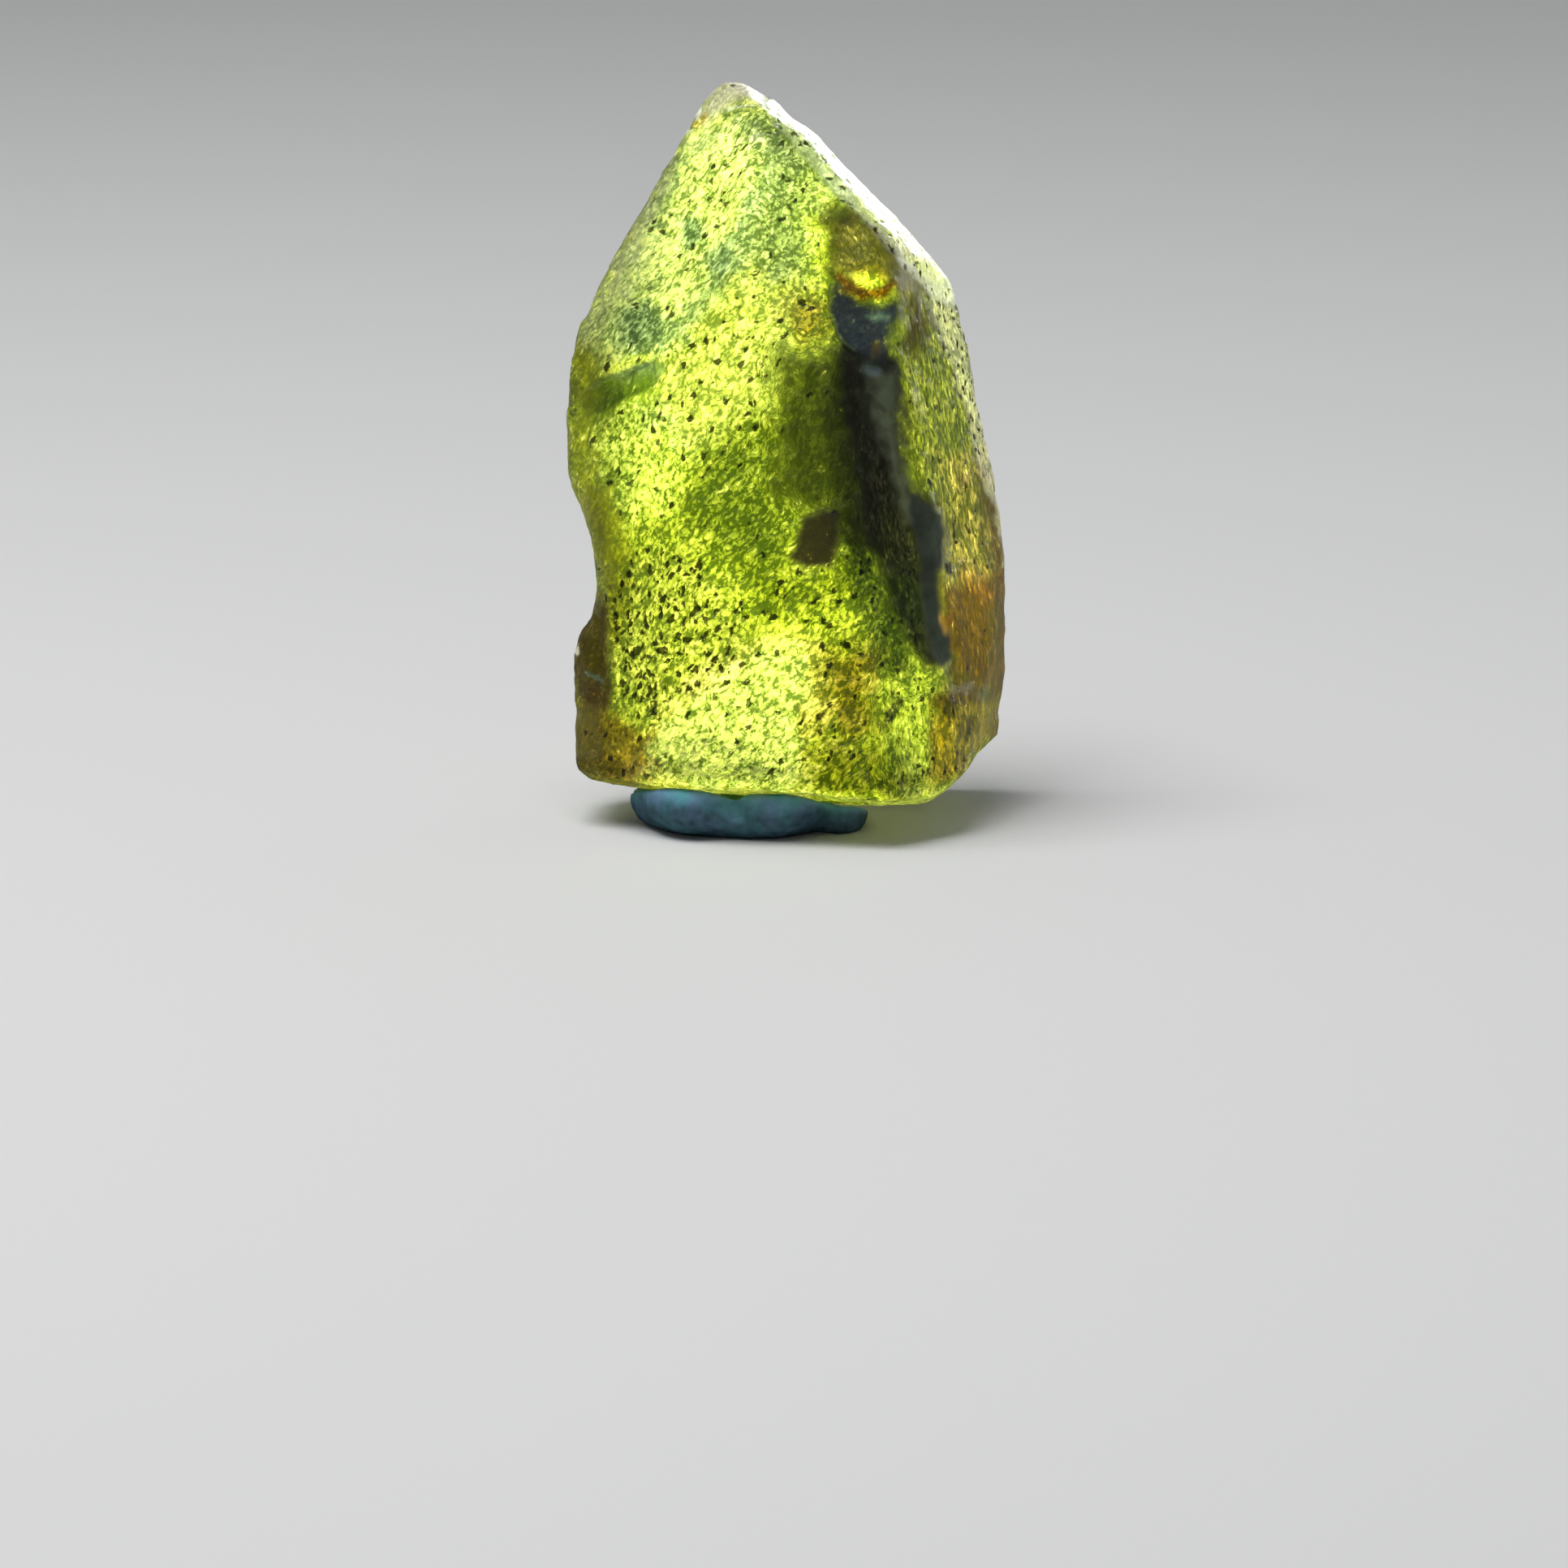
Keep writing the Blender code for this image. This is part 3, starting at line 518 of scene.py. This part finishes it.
# Where the edge seen from the front is drawn in or out: its reach, the amount and the line it follows
crystalPulls = {
    "right of the tip": (1.0, -0.45, ((-0.6, 34.3), (0.6, 33.3))),
    "low right edge": (1.3, -0.35, ((10.9, 3.4), (10.3, 1.8))),
    "low right corner": (1.6, -0.3, ((9.6, 0.6), (7.4, -0.8))),
    "left edge": (2.0, 0.26, ((-10.4, 17.5), (-9.8, 12.6))),
}

# The same for the putty's two humps, the pinch between them and its creased end
puttyPulls = {
    "left hump": (1.1, 0.34, ((-5.4, 0.0), (-4.0, 0.1))),
    "right hump": (1.1, 0.38, ((-1.4, 0.1), (0.6, -0.1))),
    "pinch": (0.45, -0.26, ((-2.5, 0.6), (-2.3, -1.6))),
    "crease": (0.3, -0.06, ((1.6, -2.2), (2.8, -1.7), (4.2, -1.9))),
}


def evenSkin(piece, grid, smoothing):
    finishWith(piece, "REMESH", mode="VOXEL", voxel_size=grid * mm, use_smooth_shade=True)
    finishWith(piece, "SMOOTH", factor=0.5, iterations=smoothing)


def refineFront(piece):
    facing = np.zeros(len(piece.data.polygons) * 3, np.float32)
    piece.data.polygons.foreach_get("normal", facing)
    towards = facing.reshape(-1, 3) @ towardsCamera
    piece.data.polygons.foreach_set("select", towards > crystalShape["frontShare"])
    pickOnly(piece)
    bpy.ops.object.mode_set(mode="EDIT")
    bpy.ops.mesh.select_mode(type="FACE")
    bpy.ops.mesh.subdivide(number_cuts=1, smoothness=0)
    bpy.ops.object.mode_set(mode="OBJECT")


def skinWaves(points, size, height):
    return np.array([noise.fractal(spot, 0.7, 2.1, 3) for spot in points / size]) * height


def skinRidges(points, size, height, stretch, place):
    spots = points / (size * np.array(stretch)) + place
    return np.array([0.5 - 2 * abs(noise.noise(spot)) for spot in spots]) * height


def pitShares(points, specked):
    spots = points / (crystalPits["size"] * np.array(crystalPits["stretch"])) + crystalPits["place"]
    found = np.array([noise.noise(spot) for spot in spots])
    above = found - crystalPits["rarity"] + crystalPits["crowding"] * specked
    return np.clip(above / crystalPits["edge"], 0, 1) * (specked > crystalPits["leastSpecked"])


def stepDepths(points, route, drop, depth, width):
    lowered = np.zeros(len(points))
    drop = np.array(drop) / np.linalg.norm(drop)
    rise = crystalShape["stepRise"]
    length = sum(np.linalg.norm(np.subtract(b, a)) for a, b in zip(route, route[1:]))
    walked = 0.0
    nearest = np.full(len(points), 1e9)
    for start, end in zip(route, route[1:]):
        along = np.subtract(end, start)
        reach = np.linalg.norm(along)
        share = np.clip((points - start) @ along / reach ** 2, 0, 1)
        offset = points - (np.array(start) + share[:, None] * along)
        gap = np.linalg.norm(offset, axis=1)
        side = offset @ drop
        faded = np.sin(math.pi * np.clip((walked + share * reach) / length, 0, 1)) ** 0.5
        ends = np.clip(1.4 - np.abs(gap ** 2 - side ** 2) ** 0.5 / (0.6 * width), 0, 1)
        down = np.where(side > 0, np.clip(1 - side / width, 0, 1), np.clip(1 + side / rise, 0, 1))
        closer = gap < nearest
        lowered = np.where(closer, down * faded * ends * depth, lowered)
        nearest = np.minimum(gap, nearest)
        walked += reach
    return lowered


def pullSkin(points, pulls):
    spots = seenFromTheFront(points)
    return sum(amount * np.exp(-(lineGaps(spots, route) / reach) ** 2)
               for reach, amount, route in pulls.values())


def smoothly(share):
    share = np.clip(share, 0, 1)
    return share * share * (3 - 2 * share)


def lineGaps(spots, route):
    gaps = np.full(len(spots), 1e9)
    for start, end in zip(route, route[1:]):
        along = np.subtract(end, start)
        share = np.clip((spots - start) @ along / (along @ along), 0, 1)
        gaps = np.minimum(gaps, np.linalg.norm(spots - start - share[:, None] * along, axis=1))
    return gaps


def insideOutline(spots, outline, edge):
    corners = np.array(outline)
    near = np.all((spots > corners.min(0) - edge) & (spots < corners.max(0) + edge), axis=1)
    close = spots[near]
    inside = np.zeros(len(close), bool)
    for (ax, ay), (bx, by) in zip(corners, np.roll(corners, -1, 0)):
        if ay != by:
            crossing = ax + (close[:, 1] - ay) * (bx - ax) / (by - ay)
            inside ^= ((close[:, 1] < ay) != (close[:, 1] < by)) & (close[:, 0] < crossing)
    gaps = lineGaps(close, [*outline, outline[0]])
    shares = np.zeros(len(spots))
    shares[near] = smoothly(0.5 + 0.5 * np.where(inside, gaps, -gaps) / edge)
    return shares


def seenFromTheFront(points):
    fromAim = points - cameraView["aim"]
    scale = 1 + fromAim @ -towardsCamera / cameraView["distance"]
    return np.stack((fromAim[:, 0], fromAim @ cameraUp), axis=1) / scale[:, None]


# The outlines are shaken by fine and broad noise, so that no edge is straight
outlineShake = {
    "size": 0.6,
    "broader": 2.6,                       # how many times the fine noise's size the broad one has
    "apart": Vector((4.1, 7.7, 1.3)),     # how far from the fine noise it is read
    "edgeShare": 0.55,                    # how far an outline is shaken for each millimetre of its soft edge
    "most": 0.6,
    "lines": 0.15,
}


def shakeOf(spot):
    broadSpot = spot / outlineShake["broader"] + outlineShake["apart"]
    return noise.noise_vector(spot) + noise.noise_vector(broadSpot)


def paintCrystal(points, facing):
    shaken = np.array([shakeOf(spot) for spot in points / outlineShake["size"]])
    level = seenFromTheFront(points)
    shaken = seenFromTheFront(points + shaken) - level
    front = np.clip(1 + 5 * facing @ towardsCamera, 0, 1)
    paint = {
        "tintLightAndShade": np.tile(crystalSkin["tintLightAndShade"], (len(points), 1)),
        "texture": np.tile(crystalSkin["texture"], (len(points), 1)),
        "stainShadeAndSheen": np.tile(crystalSkin["stainShadeAndSheen"], (len(points), 1)),
        "veil": np.zeros(len(points)),
    }
    for zone in crystalZones.values():
        spots = level + shaken * min(outlineShake["edgeShare"] * zone["edge"], outlineShake["most"])
        share = insideOutline(spots, zone["outline"], zone["edge"]) * front
        wide = share[:, None]
        if "tintLightAndShade" in zone:
            paint["tintLightAndShade"] *= 1 + wide * (np.array(zone["tintLightAndShade"]) - 1)
        if "texture" in zone:
            paint["texture"] += wide * (np.array(zone["texture"]) - paint["texture"])
        if "stainShadeAndSheen" in zone:
            paint["stainShadeAndSheen"] += wide * (np.array(zone["stainShadeAndSheen"]) - paint["stainShadeAndSheen"])
            paint["veil"] += share * (zone["veil"] - paint["veil"])
    spots = level + shaken * outlineShake["lines"]
    for halfWidth, stainShadeAndSheen, veil, route in crystalLines.values():
        share = smoothly(1.5 - lineGaps(spots, route) / halfWidth) * front
        paint["stainShadeAndSheen"] += share[:, None] * (np.array(stainShadeAndSheen) - paint["stainShadeAndSheen"])
        paint["veil"] += share * (veil - paint["veil"])
    paint["tintLightAndShade"] = np.clip(paint["tintLightAndShade"], 0, 1)
    return paint


def makeCrystal():
    piece = copyOfNode("peridot_crystal", "etched_crystal")
    evenSkin(piece, crystalShape["grid"], crystalShape["smoothing"])
    refineFront(piece)
    points = pointsOf(piece)
    facing = normalsOf(piece)
    paint = paintCrystal(points, facing)
    calm, specked, upright = paint["texture"].T
    relief = skinWaves(points, *crystalShape["hummocks"])
    fine = skinRidges(points, *crystalShape["ripples"]) * (1 - upright)
    fine += skinRidges(points, *crystalShape["streaks"]) * upright
    relief += fine * (1 - crystalShape["calmed"] * calm)
    for route, drop, depth, width in crystalSteps.values():
        relief -= stepDepths(points, route, drop, depth, width)
    relief += pullSkin(points, crystalPulls)
    pits = pitShares(points, specked)
    relief -= pits * crystalPits["depth"]
    raiseBy(piece, relief)
    keepOnPoints(piece, "pit", pits)
    keepOnPoints(piece, "veil", paint["veil"])
    for name in ("tintLightAndShade", "texture", "stainShadeAndSheen"):
        keepOnPoints(piece, name, paint[name])
    sides = sum(len(face.vertices) - 2 for face in piece.data.polygons)
    print("crystal skin:", len(points), "points,", sides, "triangles")
    return piece


# The crystal's colour

crystalSkin = {
    "tintLightAndShade": (0.8, 0.8, 0.27),          # the share of red, green and blue light that bare skin lets through
    "texture": (0.0, 0.1, 0.0),        # how calm, how specked and how upright in its grain it is
    "stainShadeAndSheen": (0.05, 0.05, 0.04),
    "deepFlake": (0.13, 0.19, 0.06),   # the darkest, middle and brightest flakes of the etched skin
    "middleFlake": (0.56, 0.63, 0.36),
    "brightFlake": (1.0, 1.0, 1.0),
    "glint": (1.0, 1.0, 0.9),
    "calmSkin": (0.6, 0.66, 0.5),
    # how dark the pits and specks are painted, as shade in their hollows
    "pit": (0.1, 0.1, 0.08),
    "clearRoughness": 0.3,
    "cloudyRoughness": 0.5,
    "index": 1.67,                     # how strongly peridot bends light
    "body": (0.94, 0.942, 0.8),        # the clear body's colour, and how soon it takes hold
    "density": 240.0,
}

# The pattern of the skin that is too fine for the mesh, in millimetres and degrees
crystalPattern = {
    "slanted": ((0, 38, 0), (0.17, 0.2, 0.34)),     # turn and size of most flakes
    "standing": ((0, -5, 0), (0.15, 0.15, 0.5)),    # of those on the right side
    "specks": ((20, 30, 0), (0.36, 0.36, 0.46)),    # and of the dark specks
    "drift": (0.9, 0.5),          # the size of the waves that carry the flakes out of line, and their reach
    "mottle": 0.7,                # sizes of the lighter and darker blotches
    "broad": 3.2,
    "crease": 0.55,               # size of the patches that the creases part, which are painted in shade
    "tiltHeight": 0.09,           # what the flakes' tilt, the grain and the specks stand up or go down
    "grainHeight": 0.14,
    "speckDepth": 0.08,
}


def crystalGlass():
    glass = Finish("etched_peridot")
    place = glass.place()
    driftSize, driftReach = crystalPattern["drift"]
    drift = glass.centred(glass.rough(place, driftSize, 2.0, 0.6, out="Color"))
    loose = glass.shifted(place, glass.scaled(drift, driftReach))
    texture = glass.painted("texture", "Vector")
    calm = glass.split(texture, "X")
    specked = glass.split(texture, "Y")
    upright = glass.split(texture, "Z")

    # flakes, each with its own tilt: slanted ones, and standing ones where the grain is upright
    slanted = glass.turned(loose, *crystalPattern["slanted"])
    standing = glass.turned(loose, *crystalPattern["standing"])
    slantedFlakes = glass.cells(slanted, "Color")
    standingFlakes = glass.cells(standing, "Color")

    def flakesEnd(out):
        return glass.tinted(upright, glass.otherEnd(slantedFlakes, out), glass.otherEnd(standingFlakes, out))

    flakes = flakesEnd("Color")
    fromCorner = glass.node("ShaderNodeVectorMath", {"operation": "SUBTRACT"}, {
        0: glass.tinted(upright, slanted, standing), 1: flakesEnd("Position")})
    tilt = glass.node("ShaderNodeVectorMath", {"operation": "DOT_PRODUCT"}, {
        0: glass.centred(flakes), 1: fromCorner}, "Value")

    # how light or dark each place of the etched skin is: random grain, mottle and broad patches, and painted
    # light and shade, each flake lighter on one side by its tilt and darker at its rim and in the creases
    mottle = glass.rough(place, crystalPattern["mottle"], 4.0, 0.65)
    broad = glass.rough(place, crystalPattern["broad"], 2.0, 0.5)
    streak = glass.tinted(upright, glass.scaled(slanted, 0.9), glass.scaled(standing, 0.9))
    grain = glass.rough(streak, 1.0, 4.0, 0.62)
    crease = glass.sum("ABSOLUTE", glass.rough(loose, crystalPattern["crease"], 3.0, 0.55) - 0.5)
    lit = glass.split(flakes, "X") * 0.3 + glass.between(grain, 0.34, 0.64, 0.0, 0.6) + tilt * 0.45
    lit = lit + glass.between(flakesEnd("Distance"), 0.3, 0.75, 0.1, -0.2)
    lit = lit - glass.between(crease, 0.035, 0.0, 0.0, 0.45)
    lit = lit + glass.between(mottle, 0.3, 0.7, -0.26, 0.24) + glass.between(broad, 0.35, 0.65, -0.09, 0.09)
    lit = lit + (glass.split(glass.painted("tintLightAndShade", "Vector"), "Y") - 0.72) * 0.4
    deepFlake = colour(*crystalSkin["deepFlake"])
    flake = glass.tinted(glass.between(lit, 0.0, 0.45), deepFlake, colour(*crystalSkin["middleFlake"]))
    flake = glass.tinted(glass.between(lit, 0.45, 0.85), flake, colour(*crystalSkin["brightFlake"]))
    flake = glass.tinted(calm * 0.9, flake, colour(*crystalSkin["calmSkin"]))

    # dark specks and pits, sunk into the skin and painted dark as shade in their hollows
    speck = glass.cells(glass.turned(loose, *crystalPattern["specks"]), "Distance")
    chance = glass.split(glass.otherEnd(speck, "Color"), "Y")
    chosen = glass.between(specked * 0.5 - chance, -0.02, 0.02)
    specks = glass.between(speck + (grain - 0.5) * 1.5 + chance * 0.3, 0.5, 0.36) * chosen
    pits = glass.between(glass.painted("pit", "Fac") + (grain - 0.5) * 0.9, 0.25, 0.4)
    holes = glass.sum("MAXIMUM", specks, pits)

    # glass shows the square root of its colour at each skin that light goes through, so the tint is squared
    tintLightAndShade = glass.blended("MULTIPLY", flake, glass.painted("tintLightAndShade"))
    tintLightAndShade = glass.tinted(glass.between(lit, 0.72, 1.05, 0.0, 0.6), tintLightAndShade, colour(*crystalSkin["glint"]))
    tintLightAndShade = glass.tinted(holes, tintLightAndShade, glass.blended("MULTIPLY", tintLightAndShade, colour(*crystalSkin["pit"])))
    base = glass.blended("MULTIPLY", tintLightAndShade, tintLightAndShade)

    height = (tilt * crystalPattern["tiltHeight"] + grain * crystalPattern["grainHeight"]) * (1 - calm * 0.92)
    height = height - specks * crystalPattern["speckDepth"]
    bump = glass.node("ShaderNodeBump", None, {"Height": height, "Distance": mm, "Strength": 1.0})
    clear = glass.node("ShaderNodeBsdfPrincipled", None, {
        "Base Color": base, "Roughness": crystalSkin["clearRoughness"], "IOR": crystalSkin["index"],
        "Transmission Weight": 1.0, "Normal": bump})

    # a veil over it, the skin's own colour in places and painted shade, painted highlights and painted
    # reflections in others, thinner where a flake is bright and where there is a speck
    veilGrain = glass.tinted(calm, glass.scaled(flake, 1.5), colour(1, 1, 1))
    veilSkin = glass.node("ShaderNodeBsdfPrincipled", None, {
        "Base Color": glass.blended("MULTIPLY", glass.painted("stainShadeAndSheen"), veilGrain),
        "Roughness": crystalSkin["cloudyRoughness"], "IOR": 1.5, "Specular IOR Level": 0.3, "Normal": bump})
    pierced = glass.sum("MAXIMUM", lit - 0.62, 0.0) * (1 - calm) * 1.6
    veil = glass.sum("MAXIMUM", glass.painted("veil", "Fac") - pierced - specks * 0.4, 0.0)
    shader = glass.node("ShaderNodeMixShader", None, {0: veil, 1: clear, 2: veilSkin})
    volume = glass.node("ShaderNodeVolumeAbsorption", None, {
        "Color": colour(*crystalSkin["body"]), "Density": crystalSkin["density"]})
    return glass.surface(shader, volume)


crystal = makeCrystal()
crystal.data.materials.append(crystalGlass())
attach(crystal, "root")
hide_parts("peridot_crystal")
print("crystal done")


# The putty

puttyShape = {"grid": 0.14, "smoothing": 6}

puttySkin = {
    "grain": 0.5,                    # size and height of its grain
    "grainHeight": 0.05,
    "patches": 1.4,                  # size of its greener and bluer patches
    "shaded": (0.02, 0.055, 0.08),   # painted shade underneath, and the lit top in the two kinds of patch
    "greener": (0.16, 0.52, 0.6),
    "bluer": (0.24, 0.47, 0.72),
    "roughness": 0.6,
}


def makePutty():
    piece = copyOfNode("display_putty", "putty_roll")
    evenSkin(piece, puttyShape["grid"], puttyShape["smoothing"])
    front = np.clip(1 + 3 * normalsOf(piece) @ towardsCamera, 0, 1)
    raiseBy(piece, pullSkin(pointsOf(piece), puttyPulls) * front)
    return piece


def puttyFinish():
    putty = Finish("matte_putty")
    place = putty.place()
    grain = putty.rough(place, puttySkin["grain"], 4.0)
    upward = putty.split(putty.node("ShaderNodeNewGeometry", out="Normal"), "Z")
    # painted light and shade: darker where the putty faces down, lighter where it faces up, with its grain
    # mixed in
    shade = putty.between(upward, -0.3, 0.8) * 0.8 + grain * 0.55 - 0.1
    patches = putty.between(putty.rough(place, puttySkin["patches"], 3.0), 0.38, 0.62)
    bright = putty.tinted(patches, colour(*puttySkin["greener"]), colour(*puttySkin["bluer"]))
    tintLightAndShade = putty.tinted(shade, colour(*puttySkin["shaded"]), bright)
    bump = putty.node("ShaderNodeBump", None, {"Height": grain * puttySkin["grainHeight"], "Distance": mm})
    shader = putty.node("ShaderNodeBsdfPrincipled", None, {
        "Base Color": tintLightAndShade, "Roughness": puttySkin["roughness"], "Normal": bump})
    return putty.surface(shader)


putty = makePutty()
putty.data.materials.append(puttyFinish())
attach(putty, "root")
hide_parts("display_putty")
print("putty done")


# The stage: a pale floor that turns up into a round wall

stageShape = {"floorRadius": 500.0, "coveRadius": 250.0, "coveSteps": 12, "wallHeight": 600.0, "turns": 64}


def makeStage():
    floorRadius = stageShape["floorRadius"] * mm
    cove = stageShape["coveRadius"] * mm
    profile = [(0, 0), (floorRadius, 0)]
    for step in range(1, stageShape["coveSteps"] + 1):
        angle = math.radians(90 * step / stageShape["coveSteps"])
        profile.append((floorRadius + cove * math.sin(angle), cove * (1 - math.cos(angle))))
    profile.append((floorRadius + cove, stageShape["wallHeight"] * mm))
    mesh = bpy.data.meshes.new("pale_stage")
    mesh.from_pydata([(x, 0, z) for x, z in profile], [(n, n + 1) for n in range(len(profile) - 1)], [])
    stage = bpy.data.objects.new("pale_stage", mesh)
    bpy.context.scene.collection.objects.link(stage)
    finishWith(stage, "SCREW", steps=stageShape["turns"], render_steps=stageShape["turns"],
               use_smooth_shade=True, use_merge_vertices=True, merge_threshold=0.0001)
    return stage


def stageFinish():
    card = Finish("pale_card")
    shader = card.node("ShaderNodeBsdfDiffuse", None, {"Color": colour(0.8, 0.8, 0.79)})
    return card.surface(shader)


stage = makeStage()
stage.data.materials.append(stageFinish())
stage.visible_glossy = False       # its pale card would grey the crystal's skin


# Light: soft boxes, and a soft world

# The first lights the stage and both pieces. The others stand behind and beside the crystal, or level with
# its foot, and light only the crystal, so that it glows from within.
softBoxes = {
    "top_light": {"place": (-120, -60, 420), "facing": (0.28, 0.14, -1), "size": (300, 300), "glow": 5.4},
    "ramp_light": {"place": (-20, 80, 38), "facing": (0, -0.573, 0.819), "size": (120, 134), "glow": 7.1},
    "table_light": {"place": (0, 42, 0.3), "facing": (0, 0, 1), "size": (180, 96), "glow": 5.9},
    "side_light": {"place": (30, -16, 0.3), "facing": (0, 0, 1), "size": (44, 36), "glow": 4.8},
    "bevel_light": {"place": (72, 150, 88), "facing": (-0.4, -0.86, -0.33), "size": (80, 50), "glow": 30.0},
}

softWorld = {"tone": (0.9, 0.95, 1.0), "strength": 0.2}


def softBox(name, place, facing, size, glow):
    data = bpy.data.lights.new(name, "AREA")
    data.shape = "RECTANGLE"
    data.size = size[0] * mm
    data.size_y = size[1] * mm
    data.energy = glow * math.pi * size[0] * size[1] * mm * mm
    light = bpy.data.objects.new(name, data)
    bpy.context.scene.collection.objects.link(light)
    light.location = Vector(place) * mm
    light.rotation_euler = Vector(facing).to_track_quat("-Z", "Y").to_euler()
    light.visible_camera = False
    return light


def lightOnly(light, piece):
    lit = bpy.data.collections.new(light.name + "_lights")
    lit.objects.link(piece)
    light.light_linking.receiver_collection = lit


def makeWorld():
    world = bpy.data.worlds.new("soft_world")
    world.use_nodes = True
    background = world.node_tree.nodes["Background"]
    background.inputs["Color"].default_value = colour(*softWorld["tone"])
    background.inputs["Strength"].default_value = softWorld["strength"]
    world.cycles_visibility.glossy = False
    bpy.context.scene.world = world


for name, box in softBoxes.items():
    light = softBox(name, **box)
    light.visible_glossy = name == "bevel_light"
    if name != "top_light":
        lightOnly(light, crystal)

makeWorld()
makeCamera()
bpy.context.scene.view_settings.view_transform = "Standard"
bpy.context.scene.cycles.max_bounces = 9
bpy.context.scene.cycles.diffuse_bounces = 2
print("stage, lights and camera done")
